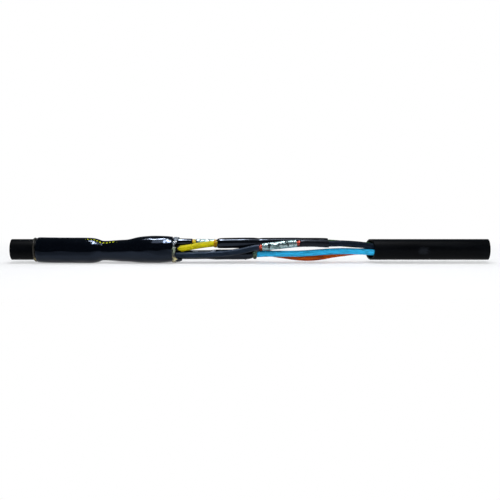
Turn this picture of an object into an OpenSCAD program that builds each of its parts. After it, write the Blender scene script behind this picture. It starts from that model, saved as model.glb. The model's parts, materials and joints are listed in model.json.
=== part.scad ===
// Heat shrink joint in a four core low voltage cable, cut away to show its inside.
// Millimetres. X runs along the cable, the cut away side faces -Y, +Z is up.
// The origin is below the middle of the sample, on the surface that it lies on.
// The right half has lost its outer sleeve, and two core sleeves are cut back.

/* [Cable] */
// Length of the whole sample, end to end
sample_l = 504; // [490:1:560]
// Diameter of one insulated core
core_d = 6.5; // [6:0.1:6.9]
// Diameter of one copper conductor
conductor_d = 5; // [4.4:0.1:5.4]
// Gap between neighbouring cores inside the cable
lay_gap = 0.1; // [0.05:0.05:0.3]
// Wall of the inner covering between cores and sheath
covering_t = 1.18; // [0.8:0.02:1.6]
// Wall of the cable sheath
sheath_wall = 1.9; // [1.4:0.1:2.4]
// Skin that is scraped off the sheath under the hot melt
scrape_t = 0.15; // [0.05:0.05:0.4]

/* [Cable ends inside the joint] */
// Distance from the middle back to the end of the left sheath
left_sheath_end = 166; // [162:1:172]
// Distance from the middle out to the mouth of the right sheath
right_sheath_end = 128; // [122:1:132]
// Skew of the knife cut at the right mouth, measured across the sheath
mouth_skew = 7; // [0:0.5:12]
// Length of inner covering that shows past the left sheath
left_covering_show = 6; // [2:0.5:9]
// Depth of the inner covering inside the right mouth
right_covering_depth = 10; // [8:0.5:16]

/* [Connectors] */
// Length of one crimped butt connector
connector_l = 37; // [32:0.5:40]
// Wall of the connector barrel
barrel_wall = 1.4; // [1:0.05:1.6]
// Bare conductor between the insulation and the connector
strip_gap = 3; // [1.5:0.25:4]
// Thickness of the stop web in the middle of the barrel
stop_t = 1; // [0.6:0.1:3]
// Radius of one crimp groove
crimp_r = 2.4; // [1.5:0.1:3]
// Depth that a crimp groove bites into the barrel
crimp_depth = 0.7; // [0.3:0.05:0.9]

/* [Core sleeves] */
// Wall of the thin sleeves left on the brown and black cores
thin_wall = 0.9; // [0.6:0.05:1.1]
// Wall of the sleeves shrunk over a connector
middle_wall = 1.15; // [0.8:0.05:1.4]
// Wall of the adhesive lined sleeve on the blue core
lined_wall = 1.5; // [1:0.05:1.7]
// Wall of the thick run of the yellow core's sleeve
thick_wall = 2.3; // [1.6:0.05:2.5]
// Length that the yellow core's sleeve covers the insulation left of its connector
yellow_lap = 44.2; // [40:0.1:48]
// Length that the yellow and black sleeves cover the insulation right of the connector
right_lap = 30.5; // [24:0.5:36]
// Distance from the middle back to where the blue and brown sleeves start
hidden_sleeve_start = 105; // [98:0.5:112]
// Length that the blue core's sleeve covers the insulation right of its connector
blue_lap = 3; // [2:0.1:6]
// Length of the adhesive squeezed out of a core sleeve
ring_l = 3.6; // [2:0.1:5]

/* [Outer sleeve] */
// Wall of the shrunk outer sleeve
outer_wall = 1.6; // [1:0.1:2.2]
// Hot melt lining between the left sheath and the outer sleeve
lining_t = 1.1; // [0.6:0.1:1.6]
// Distance from the middle back to the left edge of the outer sleeve
outer_start = 225; // [220:0.5:229]
// Distance from the middle back to the cut edge of the outer sleeve
outer_cut = 81.4; // [78:0.2:90]
// Room between the core bundle and the sleeve at its neck
neck_room = 0.9; // [0.6:0.05:1.6]
// Room between the core bundle and the sleeve where the cores start to part
shoulder_room = 1.85; // [1.5:0.05:2.4]
// Room round the parted cores at the bulge
bulge_room = 1.2; // [0.8:0.05:2.5]
// Room round the parted cores at the cut edge
cut_room = 0.15; // [0.1:0.05:0.6]
// Depth of the flat under the bulge, where the sleeve spans from core to core and
// the sample rests
rest_flat = 0.3; // [0.2:0.05:0.5]
// Length of the bead that the hot melt makes at the left edge
bead_l = 4; // [2:0.5:5]
// Height of that bead over the sheath
bead_h = 2; // [1.2:0.1:2.6]
// Length of the hot melt rim left on the cut edge
rim_l = 5.4; // [3:0.2:7]

/* [Hidden] */

// Clearance between a piece and what it is shrunk or pushed on
fit = 0.05;
// Sides of a core or sleeve, and of a conductor
core_sides = 16;
conductor_sides = 10;
// Longest stretch between two rings of a curved core
ring_step = 13;
// Spacing of the points along the outer sleeve's outline
outline_step = 3;
round_fn = 96;
over = 1;

core_r = core_d / 2;
conductor_r = conductor_d / 2;
pitch = core_d + lay_gap;
bundle_r = pitch / sqrt(2) + core_r;
covering_r = bundle_r + covering_t;
sheath_r = covering_r + sheath_wall;
scraped_r = sheath_r - scrape_t;
core_bore_r = conductor_r + fit;
barrel_bore_r = conductor_r + fit;
barrel_r = barrel_bore_r + barrel_wall;
on_core_r = core_r + fit;
on_barrel_r = barrel_r + fit;
left_x = -sample_l / 2;
right_x = sample_l / 2;
left_covering_x = -left_sheath_end + left_covering_show;
right_covering_x = right_sheath_end + right_covering_depth;

// The outer sleeve's bore: over the sheath, at the neck, where the cores part,
// at the bulge and at the cut edge. The outermost core lies spread pitches out.
spread = 1.14;
parted_r = spread * pitch + on_core_r + thin_wall;
cuff_bore_r = scraped_r + lining_t;
neck_bore_r = bundle_r + neck_room;
shoulder_bore_r = bundle_r + shoulder_room;
bulge_bore_r = parted_r + bulge_room;
cut_bore_r = parted_r + cut_room;
axis_h = bulge_bore_r + outer_wall - rest_flat;

// The order of the cores in every list below
YELLOW = 0;
BLACK = 1;
BLUE = 2;
BROWN = 3;

// Middle of each connector along X, and the straight run that holds it
joins = [31, 31, -20.1, -39.4];
straight_l = connector_l / 2 + strip_gap + 1.5;

// Points of each core: X in millimetres, then the distances to the side and up
// from the cable's axis, counted in core pitches. The two ends lie in the cables,
// and the run across the connector is straight.
routes = [
    [
        [left_x, -0.5, 0.5], [left_covering_x, -0.5, 0.5], [-105, -0.72, 0.28],
        [-76, -0.70, 0.15], [-52, -0.68, 0.74], [-34, -0.50, 1.03], [-12, -0.22, 1.07],
        [joins[YELLOW] - straight_l, 0.00, 1.09], [joins[YELLOW] + straight_l, 0.36, 1.10],
        [83, 0.60, 1.05], [110, 0.58, 0.74], [127, 0.5, 0.62],
        [right_covering_x, 0.5, 0.5], [right_x, 0.5, 0.5]
    ],
    [
        [left_x, -0.5, -0.5], [left_covering_x, -0.5, -0.5], [-105, -0.92, -0.78],
        [-68, -0.95, -0.81], [-31, -0.98, -0.58], [-10, -1.10, -0.15],
        [joins[BLACK] - straight_l, -1.27, 0.45], [joins[BLACK] + straight_l, -1.27, 1.17],
        [83, -1.10, 1.04], [97, -0.93, 1.06], [114, -0.70, 0.88], [127, -0.5, 0.62],
        [right_covering_x, -0.5, 0.5], [right_x, -0.5, 0.5]
    ],
    [
        [left_x, 0.5, -0.5], [left_covering_x, 0.5, -0.5], [-105, 0.36, -0.87],
        [joins[BLUE] - straight_l, 0.35, -0.87], [joins[BLUE] + straight_l, 0.28, -0.82],
        [19, -0.06, -0.68], [31, -0.36, -0.65], [52, -0.60, -0.60],
        [94, -0.68, -0.20], [127, -0.5, -0.36],
        [right_covering_x, -0.5, -0.5], [right_x, -0.5, -0.5]
    ],
    [
        [left_x, 0.5, 0.5], [left_covering_x, 0.5, 0.5], [-105, 0.34, 1.08],
        [joins[BROWN] - straight_l, 0.36, 1.08], [joins[BROWN] + straight_l, 1.38, 0.85],
        [0, 1.34, 0.22], [19, 1.12, -0.62], [31, 0.66, -0.95], [63, 0.15, -1.38],
        [94, 0.27, -0.74], [114, 0.46, -0.40], [127, 0.5, -0.36],
        [right_covering_x, 0.5, -0.5], [right_x, 0.5, -0.5]
    ]
];

// Length along X of one millimetre along a connector, which leans a little
function lean(p) = let (
        route = routes[p], i = stretch(route, joins[p]), a = route[i], b = route[i + 1]
    ) unit([b.x - a.x, (b.y - a.y) * pitch, (b.z - a.z) * pitch]).x;

// Where each core's connector starts and ends, and where its insulation stops
function barrel_start(p) = joins[p] - lean(p) * connector_l / 2;
function barrel_end(p) = joins[p] + lean(p) * connector_l / 2;
function left_strip(p) = barrel_start(p) - strip_gap;
function right_strip(p) = barrel_end(p) + strip_gap;
function left_stop(p) = joins[p] - lean(p) * stop_t / 2;
function right_stop(p) = joins[p] + lean(p) * stop_t / 2;

// Where the sleeves that cover a connector start and end
yellow_sleeve_x = left_strip(YELLOW) - yellow_lap;
right_sleeve_x = right_strip(YELLOW) + right_lap;
blue_sleeve_x = right_strip(BLUE) + blue_lap;

// Places of a core's sleeves and adhesive rings, where a ring of points must lie
soft_end = 3;
extra_stops = [
    [
        yellow_sleeve_x - ring_l, yellow_sleeve_x, yellow_sleeve_x + soft_end,
        left_strip(YELLOW) - soft_end, right_sleeve_x - soft_end, right_sleeve_x
    ],
    [right_sleeve_x],
    [-hidden_sleeve_start, blue_sleeve_x, blue_sleeve_x + ring_l],
    [-hidden_sleeve_start, barrel_start(BROWN) - fit]
];

function sorted(list) = len(list) < 2 ? list : let (
        middle = list[floor(len(list) / 2)],
        below = [for (v = list) if (v < middle) v],
        above = [for (v = list) if (v > middle) v]
    ) concat(sorted(below), [middle], sorted(above));

// Index of the route's stretch that holds x
function stretch(route, x, i = 0) =
    i >= len(route) - 2 || x < route[i + 1].x ? i : stretch(route, x, i + 1);

function chord(a, b) = [b.y - a.y, b.z - a.z] / (b.x - a.x);

// Slope of a core at a route point: level in the cables, straight at its connector
function slope(p, i) = let (route = routes[p], last = len(route) - 1,
        straight = stretch(route, joins[p]))
    i < 2 || i > last - 2 ? [0, 0]
    : i == straight || i == straight + 1 ? chord(route[straight], route[straight + 1])
    : chord(route[i - 1], route[i + 1]);

// Centre of core p at x: a cubic curve between its route points
function centre(p, x) = let (
        route = routes[p], i = stretch(route, x), a = route[i], b = route[i + 1],
        l = b.x - a.x, t = (x - a.x) / l, s = t * t * (3 - 2 * t),
        yz = (1 - s) * [a.y, a.z] + s * [b.y, b.z]
            + l * t * (1 - t) * ((1 - t) * slope(p, i) - t * slope(p, i + 1))
    ) [x, yz.x * pitch, yz.y * pitch];

function unit(v) = v / norm(v);
function heading(p, x) = let (d = 0.01, a = max(x - d, left_x), b = min(x + d, right_x))
    unit(centre(p, b) - centre(p, a));

// Every place along core p where its pieces have a ring of points
function stops(p) = sorted(concat(
        [for (q = routes[p]) q.x], extra_stops[p],
        [barrel_start(p), barrel_end(p), left_strip(p), right_strip(p)],
        [left_stop(p), right_stop(p)]));
function is_straight(p, a, b) = b <= left_covering_x || a >= right_covering_x
    || (a >= joins[p] - straight_l && b <= joins[p] + straight_l);
function rings(p, x0, x1) = let (all = [for (x = stops(p)) if (x >= x0 && x <= x1) x])
    concat([all[0]], [
        for (i = [1:len(all) - 1])
            let (a = all[i - 1], b = all[i],
                n = is_straight(p, a, b) ? 1 : ceil((b - a) / ring_step))
            for (k = [1:n]) a + k * (b - a) / n
    ]);

// One ring of points round core p at x
function ring(p, x, r, sides) = let (
        c = centre(p, x), along = heading(p, x),
        side = unit(cross([0, 0, 1], along)), up = cross(along, side)
    ) [for (j = [0:sides - 1]) let (a = 360 * (j + 0.5) / sides)
        c + r * (cos(a) * side + sin(a) * up)];

// Two triangles for each side of the stretch between rings k and k + 1
function skin(k, sides, first, flip) = [
    for (j = [0:sides - 1])
        let (a = first + k * sides + j, b = first + k * sides + (j + 1) % sides,
            c = b + sides, d = a + sides)
        each flip ? [[a, c, d], [a, b, c]] : [[a, d, c], [a, c, b]]
];

// A solid rod along core p from x0 to x1
module rod_along(p, x0, x1, r, sides) {
    xs = rings(p, x0, x1);
    last = (len(xs) - 1) * sides;
    points = [for (x = xs) each ring(p, x, r, sides)];
    polyhedron(points, concat(
        [for (k = [0:len(xs) - 2]) each skin(k, sides, 0, false)],
        [[for (j = [0:sides - 1]) j]],
        [[for (j = [sides - 1:-1:0]) last + j]]));
}

// A tube along core p from x0 to x1. The outside and the bore are lists of
// [x, radius], with straight tapers between their entries. The bore's flats lie on
// its radius, so that round pieces pass through.
module tube_along(p, x0, x1, outside, bore, sides = core_sides) {
    xs = rings(p, x0, x1);
    inner = len(xs) * sides;
    last = inner - sides;
    points = concat(
        [for (x = xs) each ring(p, x, lookup(x, outside), sides)],
        [for (x = xs) each ring(p, x, lookup(x, bore) / cos(180 / sides), sides)]);
    polyhedron(points, concat(
        [for (k = [0:len(xs) - 2]) each skin(k, sides, 0, false)],
        [for (k = [0:len(xs) - 2]) each skin(k, sides, inner, true)],
        [for (j = [0:sides - 1]) let (n = (j + 1) % sides)
            [j, n, inner + n, inner + j]],
        [for (j = [0:sides - 1]) let (n = (j + 1) % sides)
            [last + inner + j, last + inner + n, last + n, last + j]]));
}

// Bore of a sleeve that passes over core p and its connector
function sleeve_bore(p) = [
    [left_strip(p), on_core_r], [barrel_start(p), on_barrel_r],
    [barrel_end(p), on_barrel_r], [right_strip(p), on_core_r]
];

// Turns a shape made along Z so that it runs along the cable's axis
module along_x(x = 0) {
    translate([x, 0, 0]) rotate([0, 90, 0]) children();
}

// Places a shape made along Z on the straight run of core p, its origin at x
module on_core(p, x) {
    start = centre(p, x);
    along = heading(p, joins[p]);
    side = unit(cross([0, 0, 1], along));
    up = cross(along, side);
    multmatrix([
        [side.x, up.x, along.x, start.x],
        [side.y, up.y, along.y, start.y],
        [side.z, up.z, along.z, start.z],
        [0, 0, 0, 1]
    ])
        children();
}

module insulation_left(p) {
    tube_along(p, left_x, left_strip(p), [[0, core_r]], [[0, core_bore_r]]);
}

module insulation_right(p) {
    tube_along(p, right_strip(p), right_x, [[0, core_r]], [[0, core_bore_r]]);
}

module conductor_left(p) {
    rod_along(p, left_x, left_stop(p), conductor_r, conductor_sides);
}

module conductor_right(p) {
    rod_along(p, right_stop(p), right_x, conductor_r, conductor_sides);
}

// Butt connector: a barrel with a stop web, chamfered rims and four crimp grooves
// pressed into one side, which angle turns towards the viewer
module connector(p, angle) {
    l = connector_l;
    chamfer = barrel_wall / 3;
    grooves = [0.15, 0.35, 0.65, 0.85];
    on_core(p, barrel_start(p)) difference() {
        rotate_extrude($fn = round_fn) polygon([
            [barrel_bore_r, 0], [barrel_r - chamfer, 0], [barrel_r, chamfer],
            [barrel_r, l - chamfer], [barrel_r - chamfer, l], [barrel_bore_r, l],
            [barrel_bore_r, l / 2 + stop_t / 2 - fit], [0, l / 2 + stop_t / 2 - fit],
            [0, l / 2 - stop_t / 2 + fit], [barrel_bore_r, l / 2 - stop_t / 2 + fit]
        ]);
        for (g = grooves)
            rotate([0, 0, angle]) translate([barrel_r + crimp_r - crimp_depth, 0, g * l])
                rotate([90, 0, 0])
                    cylinder(r = crimp_r, h = 2 * barrel_r, center = true, $fn = round_fn);
    }
}

// The covering fills in round the bundle, and the middle between the cores is open
module cable_covering(x0, x1) {
    middle = 1.2 * pitch;
    difference() {
        along_x(x0) cylinder(r = covering_r - fit, h = x1 - x0, $fn = round_fn);
        translate([(x0 + x1) / 2, 0, 0])
            cube([x1 - x0 + 2 * over, middle, middle], center = true);
        for (side = [-0.5, 0.5])
            for (up = [-0.5, 0.5])
                translate([0, side * pitch, up * pitch]) along_x(x0 - over)
                    cylinder(r = on_core_r, h = x1 - x0 + 2 * over, $fn = round_fn);
    }
}

module left_sheath() {
    full_l = -outer_start - bead_l - left_x;
    color("#17191c") difference() {
        union() {
            along_x(left_x) cylinder(r = sheath_r, h = full_l, $fn = round_fn);
            along_x(left_x)
                cylinder(r = scraped_r, h = -left_sheath_end - left_x, $fn = round_fn);
        }
        along_x(left_x - over)
            cylinder(r = covering_r, h = sample_l, $fn = round_fn);
    }
}

module left_inner_covering() {
    color("#2a2c30") cable_covering(left_x, left_covering_x);
}

// The knife cut leaves the near side of the mouth shorter than the far side
module right_sheath() {
    skew = atan(mouth_skew / (2 * sheath_r));
    color("#17191c") difference() {
        along_x(right_sheath_end - mouth_skew)
            cylinder(r = sheath_r, h = right_x - right_sheath_end + mouth_skew,
                $fn = round_fn);
        along_x(right_sheath_end - 2 * mouth_skew - over)
            cylinder(r = covering_r, h = sample_l, $fn = round_fn);
        translate([right_sheath_end, 0, 0]) rotate([0, 0, skew])
            translate([-2 * sheath_r, 0, 0])
                cube([4 * sheath_r, 4 * sheath_r, 4 * sheath_r], center = true);
    }
}

module right_inner_covering() {
    color("#2a2c30") cable_covering(right_covering_x, right_x);
}

module yellow_core_left() {
    color("#ded61a") insulation_left(YELLOW);
}

module black_core_left() {
    color("#1b1e22") insulation_left(BLACK);
}

module blue_core_left() {
    color("#2696cd") insulation_left(BLUE);
}

module brown_core_left() {
    color("#963e0c") insulation_left(BROWN);
}

module yellow_core_right() {
    color("#ded61a") insulation_right(YELLOW);
}

module black_core_right() {
    color("#1b1e22") insulation_right(BLACK);
}

module blue_core_right() {
    color("#2696cd") insulation_right(BLUE);
}

module brown_core_right() {
    color("#963e0c") insulation_right(BROWN);
}

module yellow_conductor_left() {
    color("#c8643c") conductor_left(YELLOW);
}

module black_conductor_left() {
    color("#c8643c") conductor_left(BLACK);
}

module blue_conductor_left() {
    color("#c8643c") conductor_left(BLUE);
}

module brown_conductor_left() {
    color("#c8643c") conductor_left(BROWN);
}

module yellow_conductor_right() {
    color("#c8643c") conductor_right(YELLOW);
}

module black_conductor_right() {
    color("#c8643c") conductor_right(BLACK);
}

module blue_conductor_right() {
    color("#c8643c") conductor_right(BLUE);
}

module brown_conductor_right() {
    color("#c8643c") conductor_right(BROWN);
}

module yellow_connector() {
    color("#a9b4b0") connector(YELLOW, 0);
}

module black_connector() {
    color("#a9b4b0") connector(BLACK, 150);
}

module blue_connector() {
    color("#a9b4b0") connector(BLUE, 0);
}

module brown_connector() {
    color("#a9b4b0") connector(BROWN, 90);
}

// Thick up to the connector, with a waist where it dips to the bare conductor
module yellow_sleeve() {
    x0 = yellow_sleeve_x;
    waist = left_strip(YELLOW);
    color("#14161a") tube_along(YELLOW, x0, right_sleeve_x, [
        [x0, on_core_r + lined_wall], [x0 + soft_end, on_core_r + thick_wall],
        [waist - soft_end, on_core_r + thick_wall], [waist, on_core_r + lined_wall],
        [barrel_start(YELLOW), on_barrel_r + middle_wall],
        [barrel_end(YELLOW), on_barrel_r + middle_wall],
        [right_strip(YELLOW), on_core_r + lined_wall],
        [right_sleeve_x, on_core_r + lined_wall]
    ], sleeve_bore(YELLOW));
}

// What is left of the sleeve that was cut open over the black connector
module black_sleeve_remnant() {
    color("#14161a") tube_along(BLACK, right_strip(BLACK), right_sleeve_x,
        [[0, on_core_r + thin_wall]], [[0, on_core_r]]);
}

module blue_sleeve() {
    color("#14161a") tube_along(BLUE, -hidden_sleeve_start, blue_sleeve_x, [
        [left_strip(BLUE), on_core_r + lined_wall],
        [barrel_start(BLUE), on_barrel_r + lined_wall],
        [barrel_end(BLUE), on_barrel_r + lined_wall],
        [right_strip(BLUE), on_core_r + lined_wall],
        [blue_sleeve_x, on_core_r + middle_wall]
    ], sleeve_bore(BLUE));
}

// What is left of the sleeve that was cut open over the brown connector
module brown_sleeve_remnant() {
    color("#14161a") tube_along(BROWN, -hidden_sleeve_start, left_strip(BROWN),
        [[0, on_core_r + thin_wall]], [[0, on_core_r]]);
}

// Places along the outer sleeve: how soon its left edge has widened to the cuff, how
// far before the sheath's end the cuff stops, and then, counted from the sheath's end,
// half way down to the neck, the neck, where the cores start to part, and two places
// on the rise to the bulge, whose top lies bulge_back before the cut edge
cuff_lead = 7;
cuff_back = 6;
fall = 4;
neck = 13;
parting = 29;
rise = 36;
high_rise = 47;
bulge_back = 19.6;

// Outline of the outer sleeve's bore
function bore_outline() = let (end = -left_sheath_end) [
    [-outer_start, cuff_bore_r - lining_t / 3], [-outer_start + cuff_lead, cuff_bore_r],
    [end - cuff_back, cuff_bore_r - 0.1], [end + fall, neck_bore_r + 1.8],
    [end + neck, neck_bore_r], [end + parting, shoulder_bore_r],
    [end + rise, shoulder_bore_r + 0.45], [end + high_rise, bulge_bore_r - 1.1],
    [-outer_cut - bulge_back, bulge_bore_r], [-outer_cut, cut_bore_r]
];

// Height of a smooth curve through the points of table at x
function level(table, i) = let (last = len(table) - 1, a = max(i - 1, 0), b = min(i + 1, last))
    i == 0 || i == last ? 0 : (table[b].y - table[a].y) / (table[b].x - table[a].x);
function smooth(table, x) = let (
        i = stretch(table, x), a = table[i], b = table[i + 1], l = b.x - a.x,
        t = (x - a.x) / l, s = t * t * (3 - 2 * t)
    ) (1 - s) * a.y + s * b.y
        + l * t * (1 - t) * ((1 - t) * level(table, i) - t * level(table, i + 1));

// Profile points are [distance from the axis, place along it]
module outer_sleeve() {
    table = bore_outline();
    n = round((outer_start - outer_cut) / outline_step);
    xs = [for (i = [0:n]) -outer_start + i * (outer_start - outer_cut) / n];
    color("#0f1114") difference() {
        along_x() rotate_extrude($fn = round_fn) polygon(concat(
            [for (x = xs) [smooth(table, x), x]],
            [for (i = [n:-1:0]) [smooth(table, xs[i]) + outer_wall, xs[i]]]));
        translate([-outer_start - over, -axis_h, -axis_h - outer_wall])
            cube([outer_start, 2 * axis_h, outer_wall]);
    }
}

// Hot melt between the scraped sheath and the outer sleeve, squeezed out as a bead
module sleeve_lining() {
    table = bore_outline();
    inner = scraped_r + fit;
    x0 = -outer_start;
    x1 = -left_sheath_end - cuff_back;
    n = round((x1 - x0) / outline_step);
    color("#8c7a46") along_x() rotate_extrude($fn = round_fn) polygon(concat(
        [[inner, x0 - bead_l + fit]],
        [for (a = [10:20:170])
            [sheath_r + bead_h * sin(a), x0 - bead_l / 2 - bead_l / 2 * cos(a)]],
        [for (i = [0:n]) let (x = x0 + i * (x1 - x0) / n) [smooth(table, x) - fit, x]],
        [[inner, x1]]));
}

// Rim of hot melt round the cut edge of the outer sleeve
module cut_edge_adhesive() {
    x0 = -outer_cut + fit;
    low = cut_bore_r + 0.1;
    high = cut_bore_r + outer_wall + 0.3;
    color("#9a9468") along_x() rotate_extrude($fn = round_fn) polygon(concat(
        [[low, x0], [high - 0.4, x0]],
        [for (a = [0:15:90])
            [low + 0.5 + (high - low - 0.5) * cos(a), x0 + 1 + (rim_l - 1) * sin(a)]],
        [[low, x0 + rim_l - 0.6]]));
}

module yellow_adhesive_ring() {
    x1 = yellow_sleeve_x;
    color("#cd9605") tube_along(YELLOW, x1 - ring_l, x1,
        [[x1 - ring_l, on_core_r + 0.3], [x1, on_core_r + 0.9]], [[0, on_core_r]]);
}

module blue_adhesive_ring() {
    x0 = blue_sleeve_x;
    color("#6e8c78") tube_along(BLUE, x0, x0 + ring_l,
        [[x0, on_core_r + 0.8], [x0 + ring_l, on_core_r + 0.25]], [[0, on_core_r]]);
}

module brown_adhesive_ring() {
    color("#cd9605") tube_along(BROWN, left_strip(BROWN), barrel_start(BROWN) - fit,
        [[0, core_r]], [[0, core_bore_r]]);
}

module lifted() {
    translate([0, 0, axis_h]) children();
}

lifted() left_sheath();
lifted() left_inner_covering();
lifted() right_sheath();
lifted() right_inner_covering();
lifted() yellow_core_left();
lifted() black_core_left();
lifted() blue_core_left();
lifted() brown_core_left();
lifted() yellow_core_right();
lifted() black_core_right();
lifted() blue_core_right();
lifted() brown_core_right();
lifted() yellow_conductor_left();
lifted() black_conductor_left();
lifted() blue_conductor_left();
lifted() brown_conductor_left();
lifted() yellow_conductor_right();
lifted() black_conductor_right();
lifted() blue_conductor_right();
lifted() brown_conductor_right();
lifted() yellow_connector();
lifted() black_connector();
lifted() blue_connector();
lifted() brown_connector();
lifted() yellow_sleeve();
lifted() black_sleeve_remnant();
lifted() blue_sleeve();
lifted() brown_sleeve_remnant();
lifted() outer_sleeve();
lifted() sleeve_lining();
lifted() cut_edge_adhesive();
lifted() yellow_adhesive_ring();
lifted() blue_adhesive_ring();
lifted() brown_adhesive_ring();
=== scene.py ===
"""Looks of the heat shrink cable joint: a four core sample, cut away on one side."""

import functools
import json
import math

import bpy
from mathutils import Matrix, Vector


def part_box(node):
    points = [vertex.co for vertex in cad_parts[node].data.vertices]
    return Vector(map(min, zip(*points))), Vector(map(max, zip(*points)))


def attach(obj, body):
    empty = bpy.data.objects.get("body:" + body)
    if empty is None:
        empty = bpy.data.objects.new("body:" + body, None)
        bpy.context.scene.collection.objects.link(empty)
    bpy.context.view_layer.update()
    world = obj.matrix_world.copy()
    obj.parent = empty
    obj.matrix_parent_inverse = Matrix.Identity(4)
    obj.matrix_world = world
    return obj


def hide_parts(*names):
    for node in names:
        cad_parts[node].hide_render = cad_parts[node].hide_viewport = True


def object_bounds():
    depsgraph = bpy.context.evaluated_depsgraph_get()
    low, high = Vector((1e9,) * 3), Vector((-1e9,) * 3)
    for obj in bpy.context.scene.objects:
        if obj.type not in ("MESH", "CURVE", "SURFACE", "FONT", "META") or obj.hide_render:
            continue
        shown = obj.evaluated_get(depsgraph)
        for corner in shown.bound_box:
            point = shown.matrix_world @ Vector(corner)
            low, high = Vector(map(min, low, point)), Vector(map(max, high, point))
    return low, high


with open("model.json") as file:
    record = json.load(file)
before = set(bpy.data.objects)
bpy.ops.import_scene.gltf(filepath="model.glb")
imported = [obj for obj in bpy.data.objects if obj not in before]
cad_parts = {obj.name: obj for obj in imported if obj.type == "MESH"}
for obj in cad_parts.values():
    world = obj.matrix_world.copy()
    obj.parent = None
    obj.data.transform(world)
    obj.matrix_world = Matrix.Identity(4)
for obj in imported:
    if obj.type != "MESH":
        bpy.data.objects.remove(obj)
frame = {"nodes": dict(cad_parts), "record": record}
CAD_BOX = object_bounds()

bl_info = {
    "name": "Heat Shrink Cable Joint",
    "version": (1, 0, 0),
    "blender": (4, 5, 0),
    "location": "View3D > Sidebar > Cable Joint",
    "description": "Models and finishes a cut away heat shrink cable joint",
    "category": "Object",
}

MM = 0.001
LEFT_END = CAD_BOX[0][0]
RIGHT_END = CAD_BOX[1][0]
MOUNTS = {m["name"]: m for m in frame["record"]["mounts"]}
AXIS_H = MOUNTS["right_cable"]["pos_m"][2]
SHEATH_R = MOUNTS["right_cable"]["dims"]["r_mm"] * MM

# Distance between neighbouring cores inside the cable, and half a connector's run
PITCH = 6.6 * MM
STRAIGHT = 23.0

# Edges that bend more than this stay sharp
SHARP_ANGLE = math.radians(40.0)

# Centre of each connector, and each core's points: X in millimetres, then side and up
# from the cable's axis in core pitches, as in the part's source
JOINS = {"yellow": 31.0, "black": 31.0, "blue": -20.1, "brown": -39.4}
ROUTES = {
    "yellow": [
        (-252, -0.5, 0.5), (-160, -0.5, 0.5), (-105, -0.72, 0.28), (-76, -0.7, 0.15),
        (-52, -0.68, 0.74), (-34, -0.5, 1.03), (-12, -0.22, 1.07),
        (JOINS["yellow"] - STRAIGHT, 0.00, 1.09),
        (JOINS["yellow"] + STRAIGHT, 0.36, 1.1), (83, 0.6, 1.05), (110, 0.58, 0.74),
        (127, 0.5, 0.62), (138, 0.5, 0.5), (252, 0.5, 0.5),
    ],
    "black": [
        (-252, -0.5, -0.5), (-160, -0.5, -0.5), (-105, -0.92, -0.78),
        (-68, -0.95, -0.81), (-31, -0.98, -0.58), (-10, -1.1, -0.15),
        (JOINS["black"] - STRAIGHT, -1.27, 0.45),
        (JOINS["black"] + STRAIGHT, -1.27, 1.17), (83, -1.1, 1.04), (97, -0.93, 1.06),
        (114, -0.7, 0.88), (127, -0.5, 0.62), (138, -0.5, 0.5), (252, -0.5, 0.5),
    ],
    "blue": [
        (-252, 0.5, -0.5), (-160, 0.5, -0.5), (-105, 0.36, -0.87),
        (JOINS["blue"] - STRAIGHT, 0.35, -0.87),
        (JOINS["blue"] + STRAIGHT, 0.28, -0.82), (19, -0.06, -0.68), (31, -0.36, -0.65),
        (52, -0.6, -0.6), (94, -0.68, -0.2), (127, -0.5, -0.36), (138, -0.5, -0.5),
        (252, -0.5, -0.5),
    ],
    "brown": [
        (-252, 0.5, 0.5), (-160, 0.5, 0.5), (-105, 0.34, 1.08),
        (JOINS["brown"] - STRAIGHT, 0.36, 1.08),
        (JOINS["brown"] + STRAIGHT, 1.38, 0.85), (0, 1.34, 0.22), (19, 1.12, -0.62),
        (31, 0.66, -0.95), (63, 0.15, -1.38), (94, 0.27, -0.74), (114, 0.46, -0.4),
        (127, 0.5, -0.36), (138, 0.5, -0.5), (252, 0.5, -0.5),
    ],
}


# Where the cores run


def stretch(points, x):
    """Index of the stretch of a list of points that holds x."""
    for i in range(len(points) - 2):
        if x < points[i + 1][0]:
            return i
    return len(points) - 2


def chord(a, b):
    """Slopes of a table's values from one of its points to another."""
    return [(after - before) / (b[0] - a[0]) for before, after in zip(a[1:], b[1:])]


def curve(table, x, slope):
    """Values at x of a smooth curve through a table's points, with slopes at each."""
    i = stretch(table, x)
    a, b = table[i], table[i + 1]
    length = b[0] - a[0]
    t = min(max((x - a[0]) / length, 0.0), 1.0)
    s = t * t * (3 - 2 * t)
    ends = zip(a[1:], b[1:], slope(i), slope(i + 1))
    return [(1 - s) * p + s * q + length * t * (1 - t) * ((1 - t) * start - t * end)
            for p, q, start, end in ends]


def centre(core, x):
    """Centre of a core at x millimetres along the cable, in metres.

    The core runs level in the cables, and straight in its connector.
    """
    route = ROUTES[core]
    joint = stretch(route, JOINS[core])

    def slope(i):
        if i < 2 or i > len(route) - 3:
            return [0.0, 0.0]
        if i in (joint, joint + 1):
            return chord(route[joint], route[joint + 1])
        return chord(route[i - 1], route[i + 1])

    side, up = curve(route, x, slope)
    return Vector((x * MM, side * PITCH, up * PITCH + AXIS_H))


def level(table, x):
    """Height at x of a smooth curve through a table's points, level at its ends."""

    def slope(i):
        return chord(table[i - 1], table[i + 1]) if 0 < i < len(table) - 1 else [0.0]

    return curve(table, x, slope)[0]


def ramp_between(table, x):
    """Value at x on straight lines through the points of a table."""
    if x <= table[0][0]:
        return table[0][1]
    for a, b in zip(table, table[1:]):
        if x <= b[0]:
            return a[1] + (b[1] - a[1]) * (x - a[0]) / (b[0] - a[0])
    return table[-1][1]


def steps(x0, x1, step):
    """Evenly spaced places from x0 to x1, at most a step apart."""
    count = max(1, math.ceil((x1 - x0) / step))
    return [x0 + (x1 - x0) * k / count for k in range(count + 1)]


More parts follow.
